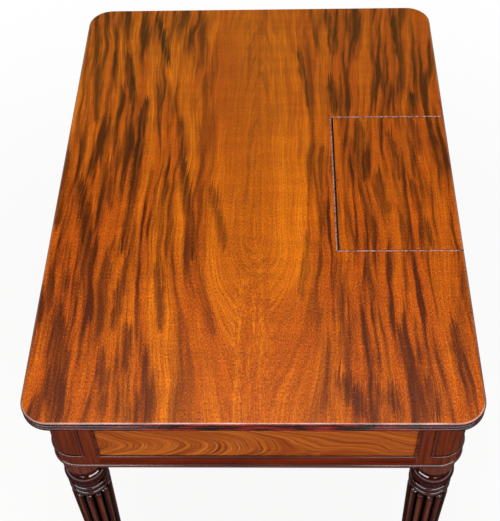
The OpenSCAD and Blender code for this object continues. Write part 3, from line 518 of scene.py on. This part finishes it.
def well_mahogany(name, grain):
    """Dry mahogany inside the well, with old ink stains and worn lighter patches."""
    t = Material(name)
    spot = t.place()
    fibre = t.noise(spot, grain_scales(grain, 300, 9), 3, 0.6)
    wear = t.noise(spot, (14, 14, 14), 3)
    spill = t.noise(spot, (26, 26, 26), 4, 0.6, 0.8)
    colour = t.blend(*WELL_WOOD, fibre, *NOISE_SPAN)
    colour = t.blend(colour, WELL_WEAR, wear, 0.5, 0.7, 0.0, 0.4)
    colour = t.blend(colour, INK, spill, 0.6, 0.66, 0.0, 0.8)
    return t.finish(colour, t.smooth(fibre, *NOISE_SPAN, 0.4, 0.52), t.bump(fibre, 0.0001, 0.3))


def highlighted_bead(name):
    """The bead let in round the flap: dark, with a painted highlight along its crest."""
    t = Material(name)
    spot = t.place()
    fibre = t.noise(spot, (240, 240, 30), 3, 0.6)
    crest = t.blend(*CREST_HIGHLIGHT, fibre, 0.35, 0.65)
    # Painted highlight along the crest of the bead
    colour = t.blend(DARK_BEAD, crest, spot[2], TOP_Z - 0.0004, TOP_Z + 0.0002)
    return t.finish(colour, t.smooth(fibre, *NOISE_SPAN, 0.24, 0.34), t.bump(fibre, 0.00005, 0.3), 0.4)


def panel_mahogany(name, along):
    """Figured veneer of a frieze panel, its grain along X (0) or Y (1), and the drawer front's plain core."""
    t = Material(name)
    spot = t.place()
    run = spot[along]
    up = spot[2] - PANEL_Z
    height = up + (t.noise((run, up, up), (7, 14, 1)) - 0.5) * PANEL_SWAY
    arch = height * height * t.smooth(run, 0.0, PANEL_RUN, 42.0, 8.0)
    slope = height * (t.smooth(run, 0.0, PANEL_RUN) * 1.3 + 0.9)
    rings = run * t.smooth(run, 0.0, PANEL_RUN, 1.0, 0.55) + arch + slope
    band = t.noise((rings, height, up), (46, 3, 1), 2, 0.55)
    line = t.noise((rings, height, up), (230, 8, 1), 2, 0.6)
    fibre = t.noise((run, up, up), (9, 420, 1))
    colour = t.blend(*VENEER, band, 0.35, 0.65)
    colour = t.blend(colour, VENEER_LINE, line, 0.49, 0.64, 0.0, 0.7)
    colour = t.blend(colour, VENEER_GLEAM, line, 0.33, 0.43, 0.5, 0.0)
    colour = t.blend(colour, VENEER_FIBRE, fibre, 0.4, 0.7, 0.0, 0.25)
    behind_veneer = t.smooth(spot[1], DRAWER_LOW.y + 0.0008, DRAWER_LOW.y + 0.0014)
    before_back = t.smooth(spot[1], DRAWER_HIGH.y + 0.0005, DRAWER_HIGH.y + 0.001, 1.0, 0.0)
    colour = t.mix(behind_veneer * before_back, colour, t.blend(*PANEL_CORE, fibre, *NOISE_SPAN))
    # Painted shade in crevices
    colour = t.mix(t.painted_crevice_shade(POLISHED_CREVICE, 0.9), colour, PANEL_CREVICE_SHADE)
    return t.finish(colour, t.smooth(line, *NOISE_SPAN, 0.24, 0.32), t.bump(line, 0.00006, 0.3), 0.2)


def leg_mahogany(name):
    """Legs: a lighter block in the frieze, and dark turnings whose reeds carry a painted highlight on their
    crests, with waxed grooves and painted shade between them.
    """
    t = Material(name)
    spot = t.place()
    x, y, z = spot
    fibre = t.noise(spot, (260, 260, 7), 3, 0.6)
    band = t.noise(spot, (30, 30, 2.5))
    block, turned, drum, lit_crest_wood = [t.blend(*wood, fibre, *NOISE_SPAN)
                                   for wood in (BLOCK_WOOD, TURNED_WOOD, DRUM_WOOD, LIT_CREST_WOOD)]
    turned = t.blend(turned, TURNED_BAND, band, 0.4, 0.7, 0.0, 0.5)
    turned = t.blend(turned, drum, z, DRUM_Z - 0.002, DRUM_Z + 0.002)

    out_x = t.math("ABSOLUTE", x) - LEG_X
    out_y = t.math("ABSOLUTE", y - LEG_MIDDLE_Y) - LEG_SPREAD_Y
    crest = t.math("COSINE", t.math("ARCTAN2", out_y, out_x) * REEDS)
    # Painted highlight: the reed crests below their heads are lighter
    lit_crest = t.smooth(crest, 0.0, 0.9, 0.0, 0.8) * t.smooth(z, HEADS_Z - 0.002, HEADS_Z - 0.012)
    # Waxed grooves between the reeds below their heads, darkened further as painted shade
    groove_wax_and_shade = t.smooth(crest, -0.9, -0.3, 0.95, 0.0) * t.smooth(z, HEADS_Z, HEADS_Z - 0.004)
    turned = t.mix(groove_wax_and_shade, t.mix(lit_crest, turned, lit_crest_wood), WAX_AND_SHADE)

    in_frieze = t.smooth(z, FRIEZE_Z - 0.0005, FRIEZE_Z + 0.0005)
    colour = t.mix(in_frieze, turned, block)
    # Painted shade in the legs' crevices
    colour = t.mix(t.painted_crevice_shade(POLISHED_CREVICE, 0.92), colour, WAX_AND_SHADE)
    rough = t.smooth(fibre, *NOISE_SPAN, 0.07, 0.11) + in_frieze * 0.15
    return t.finish(colour, rough, t.bump(fibre, 0.00006, 0.3), 1.0 - in_frieze * 0.75)


def pale_wood(name, grain, light, deep, dust):
    """Unpolished oak or pine with its grain along one axis."""
    t = Material(name)
    spot = t.place()
    fibre = t.noise(spot, grain_scales(grain, 420, 12), 3, 0.65)
    band = t.noise(spot, grain_scales(grain, 70, 3), 2, 0.5, 0.6)
    dusty = t.noise(spot, (9, 9, 9), 3)
    colour = t.blend(light, deep, band, *NOISE_SPAN)
    colour = t.blend(colour, dust, fibre, 0.5, 0.68, 0.0, 0.55)
    colour = t.blend(colour, dust, dusty, 0.5, 0.75, 0.0, 0.35)
    # Painted shade in crevices
    colour = t.mix(t.painted_crevice_shade(DRY_CREVICE, 0.96), colour, DRY_CREVICE_SHADE)
    return t.finish(colour, t.smooth(fibre, *NOISE_SPAN, 0.5, 0.66), t.bump(fibre, 0.00015, 0.35))


def aged_brass(name):
    """Old brass, browned and slightly uneven."""
    t = Material(name)
    spot = t.place()
    patch = t.noise(spot, (90, 90, 90), 4, 0.6)
    scratch = t.noise(spot, (60, 1500, 900))
    colour = t.blend(BRASS, BROWNED_BRASS, patch, 0.35, 0.7)
    rough = t.smooth(scratch, *NOISE_SPAN, 0.26, 0.42)
    return t.finish(colour, rough, t.bump(scratch, 0.00002, 0.3), metallic=1.0)


def slot_dirt_and_shade(name):
    """Dirt and painted shade in the slots of the screws."""
    t = Material(name)
    slot_darkness = t.noise(t.place(), (900, 900, 900))
    return t.finish(t.mix(slot_darkness, *SLOT_DIRT_AND_SHADE), t.smooth(slot_darkness, *NOISE_SPAN, 0.6, 0.8))


def paint(material, *names):
    """Gives a material to CAD nodes."""
    for name in names:
        slots = nodes[name].data.materials
        for index in range(len(slots)):
            slots[index] = material
        if not slots:
            slots.append(material)


def paint_everything():
    """Every CAD node gets the material of its kind, with the grain along the piece; returns the brass."""
    paint(top_mahogany("figured_top"), "top", "flap")
    paint(panel_mahogany("figured_panel_y", 1), "panel_left", "panel_right")
    paint(panel_mahogany("figured_panel_x", 0), "panel_back", "drawer_front")

    rail_x, rail_y = [straight_mahogany("mahogany_" + axis, grain, RAIL_WOOD, *RAIL_POLISH)
                      for grain, axis in enumerate("xy")]
    paint(rail_x, "rail_front_upper", "rail_front_lower", "apron_back")
    paint(rail_y, "apron_left", "apron_right")
    well_x, well_y = [well_mahogany("well_mahogany_" + axis, grain) for grain, axis in enumerate("xy")]
    paint(well_x, "well_floor", "well_division_long", "pen_tray")
    paint(well_y, "well_side_left", "well_side_right", "well_division_left", "well_division_right")

    dark_x, dark_y, dark_z = [straight_mahogany("dark_mahogany_" + axis, grain, BEAD_WOOD, *BEAD_POLISH)
                              for grain, axis in enumerate("xyz")]
    paint(dark_x, "astragal_front", "astragal_back", "panel_beads_back", "drawer_beads")
    paint(dark_y, "astragal_left", "astragal_right", "panel_beads_left", "panel_beads_right", "knob_left",
          "knob_right")
    corners = ["corner_beads_" + place for place in ("front_left", "front_right", "back_left", "back_right")]
    paint(dark_z, "astragal_corners", *corners)
    paint(highlighted_bead("highlighted_bead"), "flap_bead")
    paint(leg_mahogany("leg_mahogany"), *[name for name in nodes if name.startswith("leg_")])

    oak_x, oak_y = [pale_wood("oak_" + axis, grain, *OAK) for grain, axis in enumerate("xy")]
    paint(oak_x, "drawer_back", "drawer_bottom", "drawer_stops")
    paint(oak_y, "drawer_side_left", "drawer_side_right", "runner_left", "runner_right", "guide_left",
          "guide_right", "kicker_left", "kicker_right")
    paint(pale_wood("pine_x", 0, *PINE), "cross_rail", "glue_blocks")
    brass = aged_brass("aged_brass")
    paint(brass, "flap_lug", *[name for name in nodes if name.startswith("hinge_")])
    return brass


def screw(name, middle, up, turn, brass, slot_darkness):
    """Flat screw head on a leaf: two halves of a disc with a dark slot between them."""
    mesh = bmesh.new()
    slot_angle = math.asin(SCREW_SLOT / 2 / SCREW_R)
    span = math.pi - 2 * slot_angle
    for start in (slot_angle, slot_angle + math.pi):
        angles = [start + span * step / SCREW_STEPS for step in range(SCREW_STEPS + 1)]
        low, high = [[mesh.verts.new((SCREW_R * math.cos(angle), SCREW_R * math.sin(angle), up * level))
                      for angle in angles] for level in (0, SCREW_H)]
        mesh.faces.new(high)
        for step in range(len(angles)):
            after = (step + 1) % len(angles)
            mesh.faces.new((low[step], low[after], high[after], high[step]))
    floor = [mesh.verts.new((SCREW_R * across, SCREW_SLOT / 2 * along, up * SLOT_FLOOR))
             for across, along in SQUARE]
    # The slot's floor is dark with soiling and painted shade
    mesh.faces.new(floor).material_index = 1
    bmesh.ops.recalc_face_normals(mesh, faces=mesh.faces[:-1])
    data = bpy.data.meshes.new(name)
    mesh.to_mesh(data)
    mesh.free()
    data.materials.append(brass)
    data.materials.append(slot_darkness)
    head = bpy.data.objects.new(name, data)
    head.location = middle
    head.rotation_euler = (0, 0, turn)
    bpy.context.scene.collection.objects.link(head)
    return head


def hinge_screws(brass):
    """Three screws in each leaf; those on the flap's leaves face down when the flap is shut."""
    # Soiling and painted shade for the slots
    slot_darkness = slot_dirt_and_shade("screw_slot_dirt_and_shade")
    for side in ("left", "right"):
        for leaf, body, face_z, up in LEAVES:
            low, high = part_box("hinge_leaf_" + leaf + "_" + side)
            for index, inset in enumerate((SCREW_INSET, MIDDLE_SCREW_INSET, SCREW_INSET)):
                middle = Vector(((low.x + high.x) / 2 + (index - 1) * SCREW_SPACING, low.y + inset, face_z))
                name = "screw_" + leaf + "_" + side + "_" + str(index + 1)
                turn = FIRST_TURN[side] + NEXT_TURN * index
                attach(screw(name, middle, up, turn, brass, slot_darkness), body)


def photo_camera():
    """Camera at the photograph's place, with its own turn, tilt and lens."""
    yaw, pitch, roll = CAMERA_YAW, CAMERA_PITCH, CAMERA_ROLL
    ahead = Vector((-math.cos(yaw) * math.cos(pitch), math.sin(yaw) * math.cos(pitch), -math.sin(pitch)))
    level = Vector((math.sin(yaw), math.cos(yaw), 0))
    down = ahead.cross(level)
    right = math.cos(roll) * level + math.sin(roll) * down
    below = math.cos(roll) * down - math.sin(roll) * level
    data = bpy.data.cameras.new("photo_camera")
    data.sensor_width = SENSOR_MM
    data.lens = FOCAL_PIXELS / max(PHOTO_SIZE) * SENSOR_MM
    camera = bpy.data.objects.new("photo_camera", data)
    camera.matrix_world = Matrix((
        (right.x, -below.x, -ahead.x, CAMERA_AT.x),
        (right.y, -below.y, -ahead.y, CAMERA_AT.y),
        (right.z, -below.z, -ahead.z, CAMERA_AT.z),
        (0, 0, 0, 1)))
    bpy.context.scene.collection.objects.link(camera)
    bpy.context.scene.camera = camera


def lamp(name, at, towards, width, height, radiance):
    """Soft rectangular lamp of an even radiance."""
    data = bpy.data.lights.new(name, "AREA")
    data.shape = "RECTANGLE"
    data.size = width
    data.size_y = height
    data.energy = radiance * math.pi * width * height
    light = bpy.data.objects.new(name, data)
    light.location = at
    light.rotation_euler = (Vector(towards) - Vector(at)).to_track_quat("-Z", "Y").to_euler()
    bpy.context.scene.collection.objects.link(light)


def studio_floor():
    """Matt floor, shown nearly white to the camera; to mirroring surfaces it glows white far off and dim near
    the table, a painted shade of the table.
    """
    mesh = bpy.data.meshes.new("floor")
    mesh.from_pydata([(FLOOR_HALF * x, FLOOR_HALF * y, 0) for x, y in SQUARE], [], [(0, 1, 2, 3)])
    floor = bpy.data.objects.new("floor", mesh)
    bpy.context.scene.collection.objects.link(floor)
    t = Material("floor_white")
    spot = t.place()
    x, y = spot[:2]
    away = t.math("SQRT", x * x + y * y)
    camera, mirrored = t.rays()[:2]
    colour = t.blend(FLOOR_PALE, FLOOR_DEEP, t.noise(spot, (3, 3, 3)), *NOISE_SPAN)
    matt = t.value("ShaderNodeBsdfDiffuse", {"Color": colour})
    # Painted shade of the table: in reflections the floor's glow is dim near the table and white far off
    strength = t.math("MAXIMUM", camera, mirrored * t.smooth(away, 1.4, 4.0, 0.03, 1.0))
    glow = t.value("ShaderNodeEmission", {"Color": WHITE, "Strength": strength})
    share = t.math("MAXIMUM", camera * t.smooth(away, 0.5, 1.8, 0.87, 1.0), mirrored * 0.98)
    both = t.value("ShaderNodeMixShader", {0: share, 1: matt, 2: glow})
    t.add("ShaderNodeOutputMaterial", {"Surface": both})
    mesh.materials.append(t.material)


def studio_surroundings():
    """White to the camera, even to matt surfaces, and a bright horizon and high ring to mirroring ones."""
    world = bpy.data.worlds.new("studio")
    bpy.context.scene.world = world
    world.use_nodes = True
    t = Tree(world.node_tree)
    direction = t.value("ShaderNodeTexCoord", output="Generated")
    up = t.value("ShaderNodeSeparateXYZ", {0: direction}, "Z")
    camera, mirrored, diffuse = t.rays()
    horizon = t.smooth(up, 0.03, 0.14, 1.0, 0.02)
    ring = t.smooth(up, 0.76, 0.87, 0.0, 0.9) * t.smooth(up, 0.9, 0.95, 1.0, 0.1)
    strength = t.math("MAXIMUM", camera, mirrored * (horizon + ring))
    strength = t.math("MAXIMUM", strength, diffuse * EVEN_LIGHT)
    back = t.value("ShaderNodeBackground", {"Color": WHITE, "Strength": strength})
    t.add("ShaderNodeOutputWorld", {"Surface": back})


hinge_brass = paint_everything()
hinge_screws(hinge_brass)
photo_camera()
studio_floor()
studio_surroundings()
for lamp_values in LAMPS:
    lamp(*lamp_values)
bpy.context.scene.view_settings.view_transform = "Standard"
